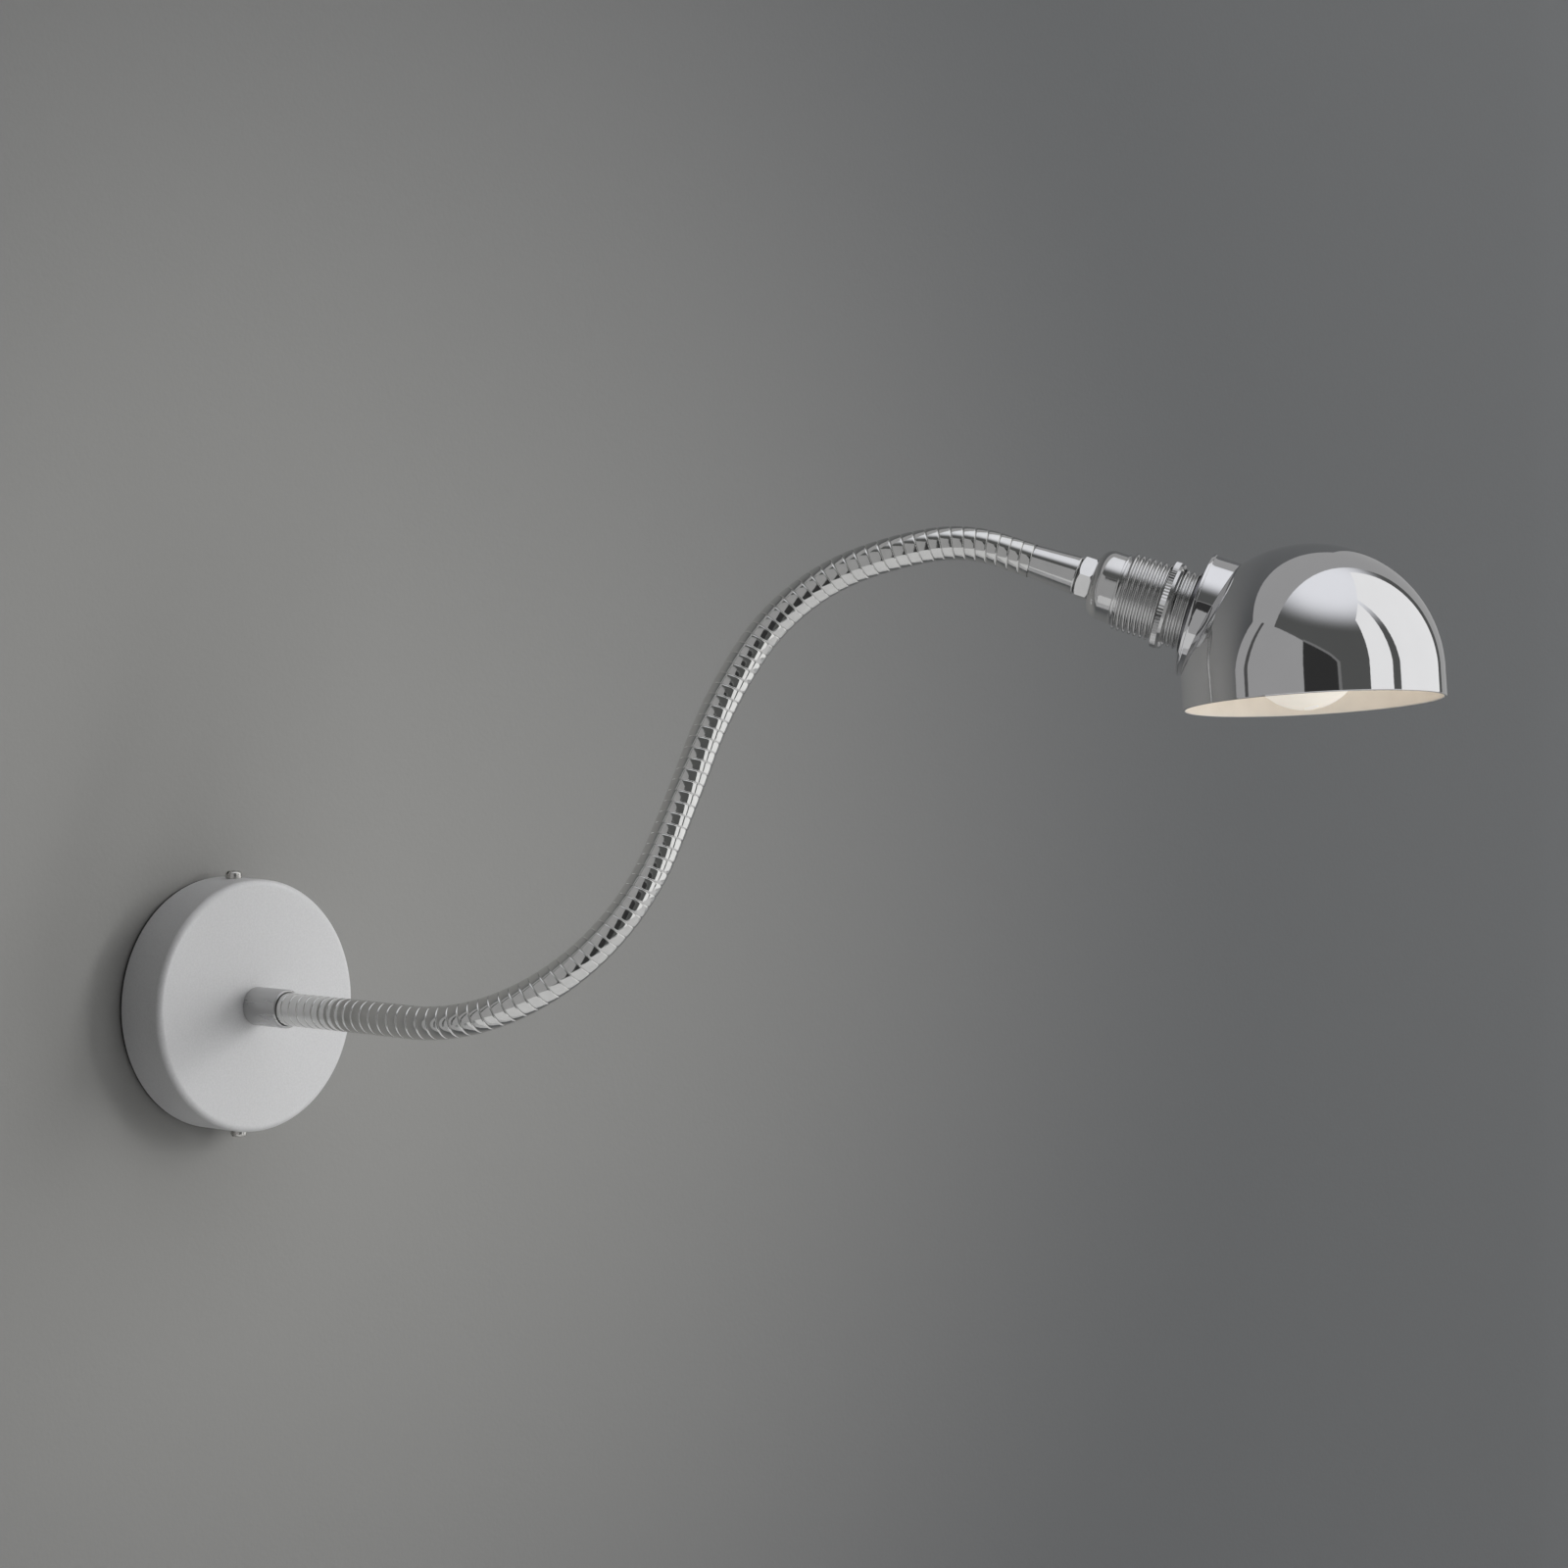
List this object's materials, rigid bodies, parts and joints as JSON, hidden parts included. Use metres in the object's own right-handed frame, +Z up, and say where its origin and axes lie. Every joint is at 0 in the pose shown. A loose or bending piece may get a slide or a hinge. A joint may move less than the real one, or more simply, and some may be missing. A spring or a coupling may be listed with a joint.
{
  "type": "gooseneck wall sconce",
  "caption": "Wall lamp with a round rose, a bent ribbed gooseneck arm, a threaded lampholder with ring nuts and a hemispherical mirror shade over a small ball lamp.",
  "frame": {"origin": "on the wall, at the middle of the rose's back", "axes": "+X straight out of the wall along the rose's axis, +Z up, +Y along the wall towards the shade's side"},
  "size_m": [0.3869, 0.3053, 0.2202],
  "materials": {
    "rose_paint": "satin",
    "black_rubber": "matt",
    "zinc_steel": "zinc plated",
    "rim_screw_plate": "nickel plated",
    "brass": "plain",
    "terminal_plastic": "matt",
    "bush_plastic": "matt",
    "rose_ferrule_satin": "satin",
    "live_insulation": "satin",
    "neutral_insulation": "satin",
    "earth_insulation": "satin",
    "lead_sheath": "satin",
    "chrome_gooseneck": "polished",
    "chrome_fittings": "polished",
    "dark_chrome": "polished",
    "porcelain": "glazed",
    "lamp_metal": "plain",
    "lamp_base_glass": "black glass",
    "lamp_opal_glass": "opal",
    "lamp_clear_glass": "clear",
    "chrome_shade": "mirror polished"
  },
  "bodies": {
    "rose": {"rose_cover": "rose_paint", "back_gasket": "black_rubber", "wall_bracket": "zinc_steel", "rim_screws": "rim_screw_plate", "earth_washer": "zinc_steel", "earth_screw": "brass", "terminal_block": "terminal_plastic", "terminal_poles": "brass", "terminal_screws": "zinc_steel", "block_screws": "zinc_steel", "rose_nipple": "zinc_steel", "toothed_washer": "zinc_steel", "rose_locknut": "zinc_steel", "nipple_bush": "bush_plastic", "rose_ferrule": "rose_ferrule_satin", "rose_live_core": "live_insulation", "rose_neutral_core": "neutral_insulation", "rose_earth_core": "earth_insulation", "supply_lead": "lead_sheath", "gooseneck_run_1": "chrome_gooseneck"},
    "arm_root": {"gooseneck_flex_1": "chrome_gooseneck", "gooseneck_run_2": "chrome_gooseneck"},
    "arm_low": {"gooseneck_flex_2": "chrome_gooseneck", "gooseneck_run_3": "chrome_gooseneck"},
    "arm_middle": {"gooseneck_flex_3": "chrome_gooseneck", "gooseneck_run_4": "chrome_gooseneck"},
    "arm_high": {"gooseneck_flex_4": "chrome_gooseneck", "gooseneck_run_5": "chrome_gooseneck"},
    "arm_end": {"gooseneck_flex_5": "chrome_gooseneck", "gooseneck_run_6": "chrome_gooseneck"},
    "head": {"gooseneck_flex_6": "chrome_gooseneck", "gooseneck_run_7": "chrome_gooseneck", "head_ferrule": "chrome_fittings", "head_nipple": "zinc_steel", "hex_nut": "chrome_fittings", "holder_cap": "chrome_fittings", "holder_shell": "chrome_fittings", "knurled_ring": "chrome_fittings", "seat_ring": "dark_chrome", "shade_lock_ring": "chrome_fittings", "insulator": "porcelain", "screw_contact": "brass", "centre_contact": "brass", "holder_terminals": "brass", "holder_terminal_screws": "zinc_steel", "earth_tag": "brass", "holder_live_core": "live_insulation", "holder_neutral_core": "neutral_insulation", "holder_earth_core": "earth_insulation", "lamp_contact": "lamp_metal", "lamp_base": "lamp_base_glass", "lamp_cap": "lamp_metal", "lamp_glass": "lamp_opal_glass", "lamp_stem": "lamp_clear_glass", "lamp_filament": "lamp_metal"},
    "shade": {"shade_collar": "chrome_shade", "shade_dome": "chrome_shade"}
  },
  "joints": [
    {"name": "arm_swing", "type": "hinge", "parent": "rose", "child": "arm_root", "pos_m": [0.06457, 0, 0], "axis": [0, 0, 1], "range_deg": [-40, 30], "deforming": ["gooseneck_flex_1", "supply_lead"]},
    {"name": "arm_lift", "type": "hinge", "parent": "arm_root", "child": "arm_low", "pos_m": [0.11825, 0.00643, 0.00029], "axis": [0.3076, -0.9515, 0], "range_deg": [-35, 20], "deforming": ["gooseneck_flex_2", "supply_lead"]},
    {"name": "lower_bend", "type": "hinge", "parent": "arm_low", "child": "arm_middle", "pos_m": [0.16364, 0.03605, 0.02819], "axis": [-0.8044, 0.594, 0], "range_deg": [-20, 30], "deforming": ["gooseneck_flex_3", "supply_lead"]},
    {"name": "middle_swing", "type": "hinge", "parent": "arm_middle", "child": "arm_high", "pos_m": [0.17481, 0.07048, 0.08368], "axis": [0.0433, 0.8768, -0.4788], "range_deg": [-40, 40], "deforming": ["gooseneck_flex_4", "supply_lead"]},
    {"name": "upper_bend", "type": "hinge", "parent": "arm_high", "child": "arm_end", "pos_m": [0.1858, 0.10467, 0.13945], "axis": [0.79, -0.6131, 0], "range_deg": [-20, 40], "deforming": ["gooseneck_flex_5", "supply_lead"]},
    {"name": "head_tilt", "type": "hinge", "parent": "arm_end", "child": "head", "pos_m": [0.22857, 0.1407, 0.16506], "axis": [-0.6311, 0.7757, 0], "range_deg": [-50, 15], "deforming": ["gooseneck_flex_6", "supply_lead"]},
    {"name": "shade_turn", "type": "hinge", "parent": "head", "child": "shade", "pos_m": [0.2569, 0.16061, 0.15899], "axis": [0.7953, 0.5165, -0.3173], "continuous": true}
  ]
}
